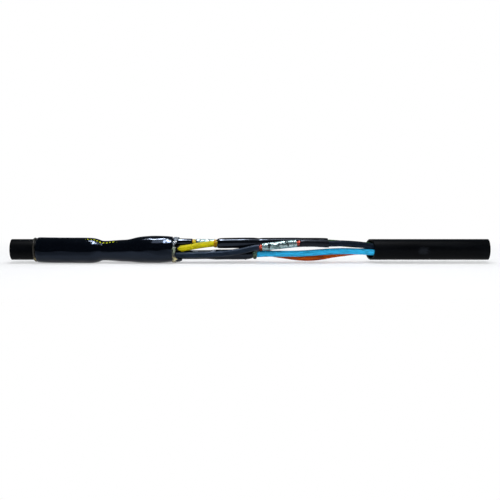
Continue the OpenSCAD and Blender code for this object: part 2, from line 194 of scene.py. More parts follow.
def places_on(table, step):
    """The places of a table, with more between them that are at most a step apart."""
    marks = [x for x, _ in table]
    return sorted({x for a, b in zip(marks, marks[1:]) for x in steps(a, b, step)})


# Modelling helpers


def deselect_all():
    """Object mode, with nothing selected."""
    active = bpy.context.view_layer.objects.active
    if active is not None and active.mode != "OBJECT":
        bpy.ops.object.mode_set(mode="OBJECT")
    bpy.ops.object.select_all(action="DESELECT")


def pick(obj):
    """Selects one object and makes it the active one."""
    deselect_all()
    obj.select_set(True)
    bpy.context.view_layer.objects.active = obj


def choose_all(obj, action="SELECT"):
    """Goes into edit mode with everything selected, or nothing."""
    pick(obj)
    bpy.ops.object.mode_set(mode="EDIT")
    bpy.ops.mesh.select_mode(type="VERT")
    bpy.ops.mesh.select_all(action=action)


def choose_points(obj, wanted):
    """Goes into edit mode with only those points selected that the test wants."""
    choose_all(obj, "DESELECT")
    bpy.ops.object.mode_set(mode="OBJECT")
    for vertex in obj.data.vertices:
        vertex.select = wanted(vertex.co)
    bpy.ops.object.mode_set(mode="EDIT")


def resize_points(obj, wanted, size, middle):
    """Stretches the points that the test wants away from a middle that stays."""
    choose_points(obj, wanted)
    bpy.ops.transform.resize(value=size, center_override=middle)
    bpy.ops.object.mode_set(mode="OBJECT")


def move_points(obj, wanted, way):
    """Moves the points that the test wants."""
    choose_points(obj, wanted)
    bpy.ops.transform.translate(value=way)
    bpy.ops.object.mode_set(mode="OBJECT")


def cut(obj, place, way, **settings):
    """Cuts a mesh with a plane and closes it there."""
    choose_all(obj)
    bpy.ops.mesh.bisect(plane_co=place, plane_no=way, use_fill=True, **settings)
    bpy.ops.object.mode_set(mode="OBJECT")


def apply_modifier(obj, kind, **settings):
    """Adds a modifier with its settings and applies it."""
    pick(obj)
    bpy.ops.object.modifier_add(type=kind)
    modifier = obj.modifiers[-1]
    for name, value in settings.items():
        setattr(modifier, name, value)
    bpy.ops.object.modifier_apply(modifier=modifier.name)


def thicken(obj, wall):
    """Gives a tube a wall in millimetres that grows inwards from its outside."""
    apply_modifier(obj, "SOLIDIFY", thickness=wall * MM, offset=-1.0)


def round_off(obj):
    """Rounds a mesh off with one level of subdivision."""
    apply_modifier(obj, "SUBSURF", levels=1)


def name_new(name):
    """Names the object that was just made, and applies where and how it stands."""
    obj = bpy.context.object
    obj.name = name
    obj.data.name = name
    bpy.ops.object.transform_apply()
    return obj


def extrude_rings(name, rings, sides, caps=False):
    """A tube from a circle extruded ring by ring: rings hold centre and radius."""
    deselect_all()
    place, radius = rings[0]
    fill = "NGON" if caps else "NOTHING"
    bpy.ops.mesh.primitive_circle_add(
        vertices=sides, radius=radius, fill_type=fill, location=place,
        rotation=(0, math.pi / 2, 0))
    obj = name_new(name)
    choose_all(obj)
    for (before, r0), (after, r1) in zip(rings, rings[1:]):
        bpy.ops.mesh.extrude_region_move(
            TRANSFORM_OT_translate={"value": after - before})
        size = r1 / r0
        bpy.ops.transform.resize(value=(1, size, size), center_override=after)
    bpy.ops.mesh.select_all(action="SELECT")
    bpy.ops.mesh.normals_make_consistent(inside=False)
    bpy.ops.object.mode_set(mode="OBJECT")
    return obj


def core_tube(name, core, profile, step, sides, wall):
    """A tube that follows a core: profile holds X and outside radius in millimetres."""
    rings = [(centre(core, x), ramp_between(profile, x) * MM)
             for x in places_on(profile, step)]
    obj = extrude_rings(name, rings, sides)
    mark_run(obj, core)
    thicken(obj, wall)
    return obj


def mark_run(obj, core):
    """Stores, at each point, its way round the core as a cosine and a sine."""
    values = []
    for vertex in obj.data.vertices:
        middle = centre(core, vertex.co.x / MM)
        around = math.atan2(vertex.co.z - middle.z, vertex.co.y - middle.y)
        values += [vertex.co.x, math.cos(around), math.sin(around)]
    attribute = obj.data.attributes.new("run", "FLOAT_VECTOR", "POINT")
    attribute.data.foreach_set("vector", values)


def finish_piece(obj, material, nodes=()):
    """Smooths a piece, gives it its finish and lets it ride on the object."""
    pick(obj)
    bpy.ops.object.shade_smooth_by_angle(angle=SHARP_ANGLE)
    obj.data.materials.clear()
    obj.data.materials.append(material)
    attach(obj, "root")
    if nodes:
        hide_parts(*nodes)


def finish_node(node, material):
    """Gives a piece that stays as the frame holds it a new finish."""
    obj = frame["nodes"][node]
    obj.data.materials.clear()
    obj.data.materials.append(material)


# Material helpers


def linear(colour):
    """An sRGB hex colour as the linear colour that the shader takes."""
    channels = []
    for i in (1, 3, 5):
        value = int(colour[i:i + 2], 16) / 255
        if value <= 0.04045:
            channels.append(value / 12.92)
        else:
            channels.append(((value + 0.055) / 1.055) ** 2.4)
    return (*channels, 1.0)


def shade(colour, share):
    """A lighter or darker tone of a linear colour."""
    return (*(min(channel * share, 1.0) for channel in colour[:3]), 1.0)


def feed(node, values):
    """Sets or links a node's inputs, by name or in the order in which they show."""
    if not isinstance(values, dict):
        shown = [socket for socket in node.inputs if socket.enabled]
        values = dict(zip(shown, values))
    for socket, value in values.items():
        if isinstance(socket, str):
            socket = node.inputs[socket]
        if isinstance(value, bpy.types.NodeSocket):
            node.id_data.links.new(value, socket)
        elif isinstance(value, str):
            socket.default_value = linear(value)
        else:
            socket.default_value = value


def add_node(tree, kind, values=(), out=None, **settings):
    """Adds a node with its settings and inputs, and gives its first or named output."""
    node = tree.nodes.new("ShaderNode" + kind)
    for name, value in settings.items():
        setattr(node, name, value)
    feed(node, values)
    shown = [socket for socket in node.outputs if socket.enabled]
    return next((socket for socket in shown if out in (None, socket.name)), None)


def start_nodes(owner):
    """Empties the nodes of a material or world, and gives what adds one to them."""
    owner.use_nodes = True
    owner.node_tree.nodes.clear()
    return functools.partial(add_node, owner.node_tree)


def start_material(name):
    """A new material, what adds a node to it, and the shader of its surface."""
    material = bpy.data.materials.new(name)
    add = start_nodes(material)
    surface = add("BsdfPrincipled")
    add("OutputMaterial", [surface])
    return material, add, surface.node


def grain(add, along, across, detail):
    """Noise with features so many millimetres long along the cable and across it."""
    stretched = add("Mapping", {
        "Vector": add("TexCoord", out="Object"),
        "Scale": (1 / (along * MM), 1 / (across * MM), 1 / (across * MM))})
    return add("TexNoise", {"Vector": stretched, "Scale": 1.0, "Detail": detail})


def layer(add, pattern, low, high, most, under, over):
    """Lays one colour over another where a pattern rises from low to high."""
    share = add("MapRange", [pattern, low, high, 0, most])
    return add("Mix", [share, under, over], data_type="RGBA")


def band(add, value, middle, near, far, inside, outside):
    """One value where another is near its middle, changing to a second one far off."""
    off = add("Math", [value, middle], operation="SUBTRACT")
    away = add("Math", [off], operation="ABSOLUTE")
    return add("MapRange", [away, near, far, inside, outside])


# Materials


def extruded_pvc_sheath(black):
    """Black PVC sheath: satin, with faint die lines along it and rubbed grey dust.

    A patch on the viewer's side of the right sheath is rubbed a little paler.
    """
    material, add, shader = start_material("extruded_pvc_sheath")
    dust = grain(add, 40, 6, 5)
    colour = layer(add, dust, 0.45, 0.75, 1, black, shade(black, 2.0))
    # Middle and reach of the rubbed patch, in metres
    middle = (0.182, -0.011, AXIS_H - 0.0006)
    spread = [1 / reach for reach in (0.0056, 0.006, 0.0042)]
    from_patch = add("Mapping", {
        "Vector": add("TexCoord", out="Object"), "Scale": spread,
        "Location": [-place * share for place, share in zip(middle, spread)]})
    off = add("VectorMath", [from_patch], operation="LENGTH")
    ragged = add("MapRange", [grain(add, 3, 1.5, 3), 0.3, 0.7, -0.3, 0.3])
    edge = add("Math", [off, ragged], operation="ADD")
    rubbed = add("MapRange", [edge, 0.45, 1.2, 0.8, 0])
    skin = grain(add, 1.2, 1.2, 2)
    skin = add("Bump", {"Height": skin, "Distance": 0.03 * MM})
    feed(shader, {
        "Base Color": add("Mix", [rubbed, colour, "#1b1e23"], data_type="RGBA"),
        "Roughness": add("MapRange", [dust, 0.3, 0.7, 0.36, 0.52]),
        "Normal": add("Bump", {
            "Height": grain(add, 120, 0.8, 2), "Distance": 0.05 * MM, "Normal": skin}),
        "IOR": 1.45, "Specular IOR Level": 0.06})
    return material


def filler_compound():
    """Soft black filling between the cores: dull, a little crumbly."""
    material, add, shader = start_material("filler_compound")
    crumbs = grain(add, 1.0, 1.0, 4)
    feed(shader, {
        "Base Color": add("Mix", [crumbs, "#0c0d10", "#24262a"], data_type="RGBA"),
        "Normal": add("Bump", {"Height": crumbs, "Distance": 0.25 * MM}),
        "Roughness": 0.75})
    return material


def shrunk_outer_sleeve(sizes, colours):
    """Heat shrunk polyolefin: deep black and glossy, gently wavy where it cooled.

    A line of plain yellow-green dashes runs over the top of the neck.
    """
    material, add, shader = start_material("shrunk_outer_sleeve")
    where = add("TexCoord", out="Object")
    place = add("SeparateXYZ", [where]).node.outputs
    # Dashes about 2 mm long in a band 1.3 mm wide, on the top and only over the neck
    wander = add("MapRange", [grain(add, 12, 3, 1), 0.3, 0.7, -0.0006, 0.0006])
    side = add("Math", [place["Y"], wander], operation="ADD")
    ticks = add("TexWave", {
        "Vector": where, "Scale": 95.0, "Distortion": 3.0, "Detail": 2.0}, out="Fac",
        wave_type="BANDS", bands_direction="X")
    mask = add("MapRange", [ticks, 0.5, 0.62])
    for other in (band(add, side, -sizes.dash_side * MM, 0.0005, 0.0009, 1, 0),
                  add("MapRange", [place["X"], -0.1735, -0.1725]),
                  add("MapRange", [place["X"], -0.142, -0.14, 1, 0]),
                  add("MapRange", [place["Z"], AXIS_H, AXIS_H + 0.002])):
        mask = add("Math", [mask, other], operation="MULTIPLY")
    clouds = grain(add, 30, 12, 3)
    cloudy = add("Mix", [clouds, "#020304", "#04060a"], data_type="RGBA")
    # The waves are shallow on the shoulder before the neck, where the sleeve is tight
    loose = band(add, place["X"], -0.158, 0.008, 0.016, 0.12, 1)
    wave = add("Math", [grain(add, 18, 9, 1), 0.5], operation="SUBTRACT")
    swell = add("Math", [wave, loose], operation="MULTIPLY")
    waves = add("Bump", {"Height": swell, "Distance": 0.95 * MM})
    # Dust dulls the top of the crease where the shoulder meets the neck
    crease = band(add, place["X"], -0.1553, 0.0014, 0.0034, 1, 0)
    above = add("MapRange", [place["Z"], AXIS_H + 0.002, AXIS_H + 0.005])
    dusty = add("Math", [crease, above], operation="MULTIPLY")
    feed(shader, {
        "Base Color": add("Mix", [mask, cloudy, colours.dashes], data_type="RGBA"),
        "Roughness": add("MapRange", [grain(add, 25, 8, 4), 0.35, 0.75, 0.05, 0.13]),
        "Normal": add("Bump", {
            "Height": grain(add, 4, 2.5, 2), "Distance": 0.03 * MM, "Normal": waves}),
        "Specular IOR Level": add("MapRange", [dusty, 0, 1, 0.38, 0.06]),
        "IOR": 1.5, "Specular Tint": "#b8d0f8"})
    return material


def shrunk_core_sleeve(name, smooth, rough, gloss, depth):
    """Thin heat shrink on the cores: black, glossy, drawn lengthwise.

    Its roughness goes from smooth to rough, and its drawn marks are so deep.
    """
    material, add, shader = start_material(name)
    drawn = grain(add, 14, 1.6, 3)
    feed(shader, {
        "Base Color": add("Mix", [drawn, "#030405", "#080a0d"], data_type="RGBA"),
        "Roughness": add("MapRange", [drawn, 0.3, 0.7, smooth, rough]),
        "Normal": add("Bump", {"Height": drawn, "Distance": depth * MM}),
        "IOR": 1.5, "Specular IOR Level": gloss, "Specular Tint": "#c4d6f4"})
    return material


def core_insulation(name, middle, lighter, roughness, gloss, tint="#ffffff"):
    """Extruded core insulation: satin, with streaks and scuffs drawn along the core."""
    material, add, shader = start_material(name)
    dark = shade(middle, 0.36)
    streak = grain(add, 16, 0.9, 4)
    patch = grain(add, 9, 3.5, 3)
    specks = grain(add, 1.6, 0.7, 2)
    base = layer(add, streak, 0.35, 0.65, 1, middle, shade(middle, lighter))
    shaded = layer(add, patch, 0.5, 0.78, 0.8, base, dark)
    feed(shader, {
        "Base Color": layer(add, specks, 0.64, 0.76, 0.55, shaded, dark),
        "Roughness": add("MapRange", [patch, 0.3, 0.7, roughness, roughness + 0.14]),
        "Normal": add("Bump", {"Height": streak, "Distance": 0.1 * MM}),
        "IOR": 1.48, "Specular IOR Level": gloss, "Specular Tint": tint})
    return material


def striped_insulation(colours):
    """Yellow insulation with a green stripe that winds slowly round the core."""
    material, add, shader = start_material("striped_yellow_insulation")
    run = add("Attribute", out="Vector", attribute_name="run")
    run = add("SeparateXYZ", [run]).node.outputs
    # The stripe turns once in 530 mm and covers about a third of the way round
    around = add("Math", [run["Z"], run["Y"]], operation="ARCTAN2")
    turned = add("Math", [run["X"], -math.tau / 0.53, around], operation="MULTIPLY_ADD")
    shifted = add("Math", [turned, -0.652], operation="ADD")
    wave = add("Math", [shifted], operation="COSINE")
    streak = grain(add, 14, 0.8, 4)
    patch = grain(add, 5, 2.2, 4)
    pure, green = colours.yellow_core, colours.green_stripe
    yellow = layer(add, streak, 0.35, 0.65, 1, shade(pure, 0.58), pure)
    stained = layer(add, patch, 0.52, 0.72, 0.85, yellow, shade(pure, 0.23))
    green = add("Mix", [streak, shade(green, 0.45), green], data_type="RGBA")
    striped = layer(add, wave, 0.5, 0.58, 1, stained, green)
    # The core turns near black where it comes out of the outer sleeve, reaching further
    # along below and above than on the side
    edge = run["X"]
    for shift in ([grain(add, 2.5, 1.2, 3), 0.35, 0.65, -0.0009, 0.0009],
                  [run["Z"], -1.0, 0.1, -0.0042, 0],
                  [run["Z"], 0.3, 1.0, 0, -0.0022]):
        edge = add("Math", [edge, add("MapRange", shift)], operation="ADD")
    stains = add("Bump", {"Height": patch, "Distance": 0.3 * MM})
    feed(shader, {
        "Base Color": layer(add, edge, -0.0762, -0.0756, 1, "#07080a", striped),
        "Roughness": add("MapRange", [patch, 0.3, 0.7, 0.38, 0.55]),
        "Normal": add("Bump", {
            "Height": streak, "Distance": 0.14 * MM, "Normal": stains}),
        "IOR": 1.48, "Specular IOR Level": 0.08})
    return material


def tinned_copper_barrel():
    """Tinned copper connector: silvery with a green-grey cast, with painted shade in the
    dents.
    """
    material, add, shader = start_material("tinned_copper_barrel")
    smear = grain(add, 5, 1.6, 4)
    spots = grain(add, 1.1, 0.9, 3)
    # Depth of the dents, which darkens the tin there as painted shade
    dent_shade = add("Attribute", out="Fac", attribute_name="dent")
    tin = layer(add, smear, 0.38, 0.6, 1, "#64807f", "#bdd4d6")
    dull = layer(add, spots, 0.52, 0.72, 0.75, tin, "#2c3836")
    smears = add("Bump", {"Height": smear, "Distance": 0.24 * MM})
    feed(shader, {
        "Base Color": layer(add, dent_shade, 0.25, 0.95, 0.85, dull, "#161e1e"),
        "Metallic": 1.0,
        "Roughness": add("MapRange", [smear, 0.35, 0.65, 0.5, 0.32]),
        "Normal": add("Bump", {
            "Height": spots, "Distance": 0.12 * MM, "Normal": smears})})
    return material


def bare_copper(copper):
    """Drawn copper wire: bright orange-red where it was just stripped."""
    material, add, shader = start_material("bare_copper")
    tarnish = grain(add, 2.0, 0.8, 3)
    tones = [tarnish, copper, shade(copper, 0.34)]
    feed(shader, {
        "Base Color": add("Mix", tones, data_type="RGBA"),
        "Metallic": 0.85, "Roughness": 0.4,
        "Normal": add("Bump", {"Height": tarnish, "Distance": 0.04 * MM})})
    return material


def yellowish_hot_melt():
    """Hot melt adhesive: waxy, a little see-through, shiny where it ran."""
    material, add, shader = start_material("yellowish_hot_melt")
    flow = grain(add, 3.0, 4.0, 3)
    fleck = grain(add, 0.9, 0.9, 2)
    base = layer(add, flow, 0.35, 0.65, 1, "#a69608", "#ccba10")
    feed(shader, {
        "Base Color": layer(add, fleck, 0.56, 0.72, 0.7, base, "#6c6004"),
        "Roughness": 0.36, "Specular IOR Level": 0.2, "Subsurface Weight": 0.1,
        "Subsurface Radius": (0.002, 0.0015, 0.0008),
        "Normal": add("Bump", {"Height": flow, "Distance": 0.35 * MM})})
    return material


def melt_by_height(name, middle, reach, bands, veil, rough, depth, coat=0.5):
    """Hot melt whose colour changes with its height, from the bottom to the top, in bands
    that hold its own colours and, on some pieces, painted highlight and shade.

    The bands span a reach below and above the middle, and the veil lies over them.
    """
    material, add, shader = start_material(name)
    where = add("TexCoord", out="Object")
    up = add("SeparateXYZ", [where], out="Z")
    height = add("MapRange", [up, middle - reach, middle + reach])
    ramp = add("ValToRGB", [height])
    marks = ramp.node.color_ramp.elements
    marks[0].color = linear(bands[0][1])
    marks[1].color = linear(bands[-1][1])
    for place, colour in bands[1:-1]:
        marks.new(place).color = linear(colour)
    flow = grain(add, 1.8, 1.8, 4)
    feed(shader, {
        "Base Color": layer(add, flow, 0.45, 0.6, 0.9, ramp, veil),
        "Roughness": rough, "Specular IOR Level": coat, "Coat Weight": coat,
        "Normal": add("Bump", {"Height": flow, "Distance": depth * MM})})
    return material


def squeezed_rim():
    """Rim of hot melt on the cut: silvery on top, partly a painted reflection; olive; then
    beige below, with a painted highlight on the hanging drop.
    """
    bands = [(0.0, "#b8ac74"), (0.1, "#e6dca0"), (0.2, "#a49a68"), (0.3, "#2c2a1e"),
             (0.4, "#78826a"), (0.58, "#76826c"), (0.7, "#2c343c"), (1.0, "#98a4b2")]
    return melt_by_height("squeezed_rim", AXIS_H, 0.013, bands, "#0c0f13", 0.16, 0.9)


def squeezed_bead():
    """Bead of hot melt on the sheath: thin and grey-brown, beige where it hangs."""
    bands = [(0.0, "#a8986a"), (0.14, "#94845a"), (0.26, "#34302a"), (0.6, "#302e2a"),
             (1.0, "#282826")]
    return melt_by_height(
        "squeezed_bead", AXIS_H, 0.013, bands, "#1c1a16", 0.45, 0.3, 0.15)


def amber_ring_melt():
    """Amber ring on the yellow core: painted shade makes it deep amber below, and a
    painted highlight makes it bright and shiny on top.
    """
    # Bands run from painted shade at the bottom to a painted highlight at the top
    bands = [(0.0, "#5c4404"), (0.4, "#946e04"), (0.75, "#b88a08"), (1.0, "#cca00c")]
    height = centre("yellow", -36.5).z
    return melt_by_height(
        "amber_hot_melt", height, 0.0045, bands, "#6c4e02", 0.45, 0.2, 0.08)


def green_ring_melt():
    """Ring on the blue core: grey-green and milky on top, dark olive where it hangs."""
    bands = [(0.0, "#34320c"), (0.35, "#44523a"), (0.7, "#64806a"), (1.0, "#a2b8ac")]
    height = centre("blue", 5.5).z
    return melt_by_height(
        "grey_green_hot_melt", height, 0.005, bands, "#2a3420", 0.35, 0.3, 0.25)


def painted_dark_reflection(add, where, glossy):
    """White, but dark to reflections in a patch before the outer sleeve, a painted
    reflection of dark surroundings.

    The patch reaches close to the sleeve but for a notch before its neck.
    """
    place = add("SeparateXYZ", [where]).node.outputs
    notch = band(add, place["X"], -0.134, 0.012, 0.036, -0.06, -0.018)
    depth = add("Math", [notch, place["Y"]], operation="SUBTRACT")
    dark = glossy
    for other in ([depth, 0.0, 0.012], [place["X"], -0.08, -0.07, 1, 0]):
        dark = add("Math", [dark, add("MapRange", other)], operation="MULTIPLY")
    return add("Mix", [dark, "#ffffff", "#202226"], data_type="RGBA")


def painted_floor():
    """Painted pale board: flat and even, white where it meets the backdrop.

    The camera and reflections see it paler, and away from the joint as plain white.
    Reflections also see a painted dark reflection patch before the outer sleeve.
    """
    material, add, shader = start_material("painted_floor")
    speck = grain(add, 30, 30, 3)
    feed(shader, {
        "Base Color": add("Mix", [speck, "#f0f2f5", "#f6f7f9"], data_type="RGBA"),
        "Roughness": 0.8, "Specular IOR Level": 0.1})
    where = add("TexCoord", out="Object")
    spread = add("Mapping", {"Vector": where, "Scale": (0.3, 1.0, 1.0)})
    away = add("VectorMath", [spread], operation="LENGTH")
    far = add("MapRange", [away, 0.02, 0.26, 0.35, 1])
    rays = add("LightPath").node.outputs
    eyes = add("Math", [rays["Is Camera Ray"], rays["Is Glossy Ray"]], operation="ADD")
    share = add("Math", [far, eyes], operation="MULTIPLY")
    # Reflections see the painted dark reflection patch before the outer sleeve
    white = add("Emission", [painted_dark_reflection(add, where, rays["Is Glossy Ray"])])
    mixed = add("MixShader", [share, shader.outputs["BSDF"], white])
    feed(material.node_tree.get_output_node("ALL"), [mixed])
    return material


# Settings


def number_setting(name, description, default, low, high, **kind):
    """A number that a user may change, with its limits."""
    return bpy.props.FloatProperty(
        name=name, description=description, default=default, min=low, max=high, **kind)


def colour_setting(name, description, colour):
    """A colour that a user may change, with its default given in hex."""
    return bpy.props.FloatVectorProperty(
        name=name, description=description, default=linear(colour), size=4, min=0.0,
        max=1.0, subtype="COLOR")


class CableJointSizes(bpy.types.PropertyGroup):
    """Sizes of the joint's pieces that a user may change, in millimetres."""

    outer_wall: number_setting(
        "Outer sleeve wall", "Wall of the outer sleeve", 1.6, 0.8, 2.4)
    core_radius: number_setting(
        "Core radius", "Radius of one insulated core", 3.25, 3.0, 3.5)
    barrel_radius: number_setting(
        "Connector radius", "Radius of a butt connector", 3.95, 3.5, 4.2)
    dash_side: number_setting(
        "Dash line offset", "How far to the front the printed line lies", 5.5, 0.0, 8.0)
    sides: bpy.props.IntProperty(
        name="Sides of a core", description="Sides of a core before it is smoothed",
        default=32, min=12, max=64)


class CableJointColours(bpy.types.PropertyGroup):
    """Colours of the joint's pieces that a user may change."""

    sheath: colour_setting("Sheath", "Colour of both cable sheaths", "#030406")
    dashes: colour_setting("Dashes", "Colour of the printed dashes", "#c8d21e")
    yellow_core: colour_setting("Yellow core", "Colour of the earth core", "#d2c60a")
    green_stripe: colour_setting("Green stripe", "Stripe on the earth core", "#225c1c")
    black_core: colour_setting("Black core", "Colour of the black core", "#0f151d")
    blue_core: colour_setting("Blue core", "Colour of the blue core", "#27a2d2")
    brown_core: colour_setting("Brown core", "Colour of the brown core", "#a74103")
    copper: colour_setting("Copper", "Colour of the bare copper strands", "#bf5343")


class CableJointView(bpy.types.PropertyGroup):
    """Where the camera stands and how wide it sees."""

    distance: number_setting(
        "Camera distance", "From the middle of the joint to the camera", 0.9, 0.3, 2.0,
        unit="LENGTH")
    elevation: number_setting(
        "Camera elevation", "How far the camera looks down", math.radians(6.0), 0.0,
        1.5, subtype="ANGLE")
    width: number_setting(
        "Width in view", "Width that the picture spans at the joint", 0.53, 0.1, 2.0,
        unit="LENGTH")


class JOINT_OT_outer_sleeve(bpy.types.Operator):
    """Model the shrunk outer sleeve with its cuff, neck and bulge"""

    bl_idname = "cable_joint.outer_sleeve"
    bl_label = "Outer Sleeve"

    # X and outside radius, and X and how far the sleeve rises off the cable's axis
    OUTLINE = [
        (-225, 12.9), (-223.5, 13.3), (-218, 13.55), (-195, 13.6), (-171, 13.58),
        (-166.5, 13.35), (-163.5, 12.9), (-160.5, 12.18), (-158, 11.15), (-156.8, 10.6),
        (-155.6, 10.44), (-152.5, 10.44), (-148.5, 10.6), (-144, 10.95),
        (-136, 11.5), (-131.5, 11.65), (-127.5, 12.05), (-123.4, 12.75), (-119, 13.5),
        (-115, 13.9), (-108, 14.3), (-101, 14.5), (-94, 14.4), (-87, 13.95),
        (-81.4, 13.35)]
    SAG = [(-225, -0.4), (-212, -0.7), (-190, -0.9), (-166, -1.1), (-150, -1.25),
           (-130, -1.2), (-119, -0.4), (-106, 0.0), (-95, 0.07), (-81.4, 0.3)]

    def execute(self, context):
        sizes = context.scene.cable_joint_sizes
        rings = []
        for x in steps(self.OUTLINE[0][0], self.OUTLINE[-1][0], 1.6):
            place = Vector((x * MM, 0, AXIS_H + level(self.SAG, x) * MM))
            rings.append((place, level(self.OUTLINE, x) * MM))
        obj = extrude_rings("shrunk_outer_sleeve", rings, 64)
        thicken(obj, sizes.outer_wall)
        round_off(obj)
        # The flat under the bulge, where the sleeve spans from core to core
        cut(obj, (0, 0, 0), (0, 0, -1), clear_outer=True, threshold=1e-6)
        material = shrunk_outer_sleeve(sizes, context.scene.cable_joint_colours)
        finish_piece(obj, material, ["outer_sleeve"])
        return {"FINISHED"}


class JOINT_OT_core_sleeves(bpy.types.Operator):
    """Model the two whole core sleeves and what is left of the other two"""

    bl_idname = "cable_joint.core_sleeves"
    bl_label = "Core Sleeves"

    # Name, core, node that it stands for, wall, X and outside radius of its points, and
    # its material: name, least and most roughness, gloss, depth of the drawn marks
    SLEEVES = [
        ("yellow_core_sleeve", "yellow", "yellow_sleeve", 1.2, [
            (-34.7, 4.6), (-33.6, 5.1), (-31, 5.5), (-8, 5.65), (4, 5.5), (8, 5.0),
            (9.6, 4.75), (11.5, 5.0), (14, 5.2), (49, 5.2), (54, 4.9), (81.5, 4.85),
            (83, 4.5)], ("shrunk_sleeve_on_yellow", 0.04, 0.1, 0.42, 0.08)),
        ("black_core_sleeve_rest", "black", "black_sleeve_remnant", 1.0, [
            (52.6, 4.05), (53.2, 4.15), (56, 4.2), (80, 4.2), (82.6, 4.15),
            (83, 3.95)], ("shrunk_sleeve_on_black", 0.32, 0.48, 0.3, 0.1)),
        ("blue_core_sleeve", "blue", "blue_sleeve", 1.2, [
            (-105, 4.8), (-42, 4.8), (-38, 5.45), (-3.6, 5.5), (-1.4, 5.2), (0.6, 4.7),
            (3.4, 4.1)], ("shrunk_core_sleeve", 0.14, 0.3, 0.4, 0.12)),
        ("brown_core_sleeve_rest", "brown", "brown_sleeve_remnant", 0.85, [
            (-105, 4.2), (-75, 4.2), (-61.6, 4.2), (-60.9, 4.05)], (
                "shrunk_sleeve_on_brown", 0.04, 0.1, 0.6, 0.04)),
    ]

    def execute(self, context):
        sizes = context.scene.cable_joint_sizes
        for name, core, node, wall, outline, finish in self.SLEEVES:
            obj = core_tube(name, core, outline, 6, sizes.sides, wall)
            round_off(obj)
            finish_piece(obj, shrunk_core_sleeve(*finish), [node])
        return {"FINISHED"}


class JOINT_OT_cores(bpy.types.Operator):
    """Model the eight insulated cores along their routes"""

    bl_idname = "cable_joint.cores"
    bl_label = "Cores"

    # Where the left core's insulation ends and the right one's starts, and its wall
    STRIPS = {"yellow": (9.6, 52.4), "black": (9.7, 52.3), "blue": (-41.6, 1.4),
              "brown": (-60.6, -18.2)}
    WALL = 0.65

    def execute(self, context):
        sizes = context.scene.cable_joint_sizes
        colours = context.scene.cable_joint_colours
        striped = striped_insulation(colours)
        blue = core_insulation("blue_insulation", colours.blue_core, 1.45, 0.42, 0.2)
        brown = core_insulation(
            "brown_insulation", colours.brown_core, 1.75, 0.46, 0.12)
        # The black core's left insulation has grey scuffs and lighter streaks that are
        # partly painted highlight bands; the right one is a darker copy with fewer
        # streaks, painted shade
        scuffs_and_sheen = core_insulation(
            "black_insulation", colours.black_core, 2.7, 0.36, 0.22, "#a0c0f0")
        shaded_copy = core_insulation(
            "clean_black_insulation", shade(colours.black_core, 0.6), 1.6, 0.36, 0.22,
            "#a0c0f0")
        finishes = {
            "yellow": (striped, striped, "insulation_yellow_green"),
            "black": (scuffs_and_sheen, shaded_copy, "insulation_black"),
            "blue": (blue, blue, "insulation_blue"),
            "brown": (brown, brown, "insulation_brown"),
        }
        for core, (left, right) in self.STRIPS.items():
            on_left, on_right, slot = finishes[core]
            runs = (("left", LEFT_END / MM, left, on_left),
                    ("right", right, RIGHT_END / MM, on_right))
            for side, x0, x1, material in runs:
                profile = [(x0, sizes.core_radius), (x1, sizes.core_radius)]
                obj = core_tube(
                    f"{core}_insulation_{side}", core, profile, 4, sizes.sides,
                    self.WALL)
                finish_piece(obj, material, [f"{core}_core_{side}"])
        return {"FINISHED"}


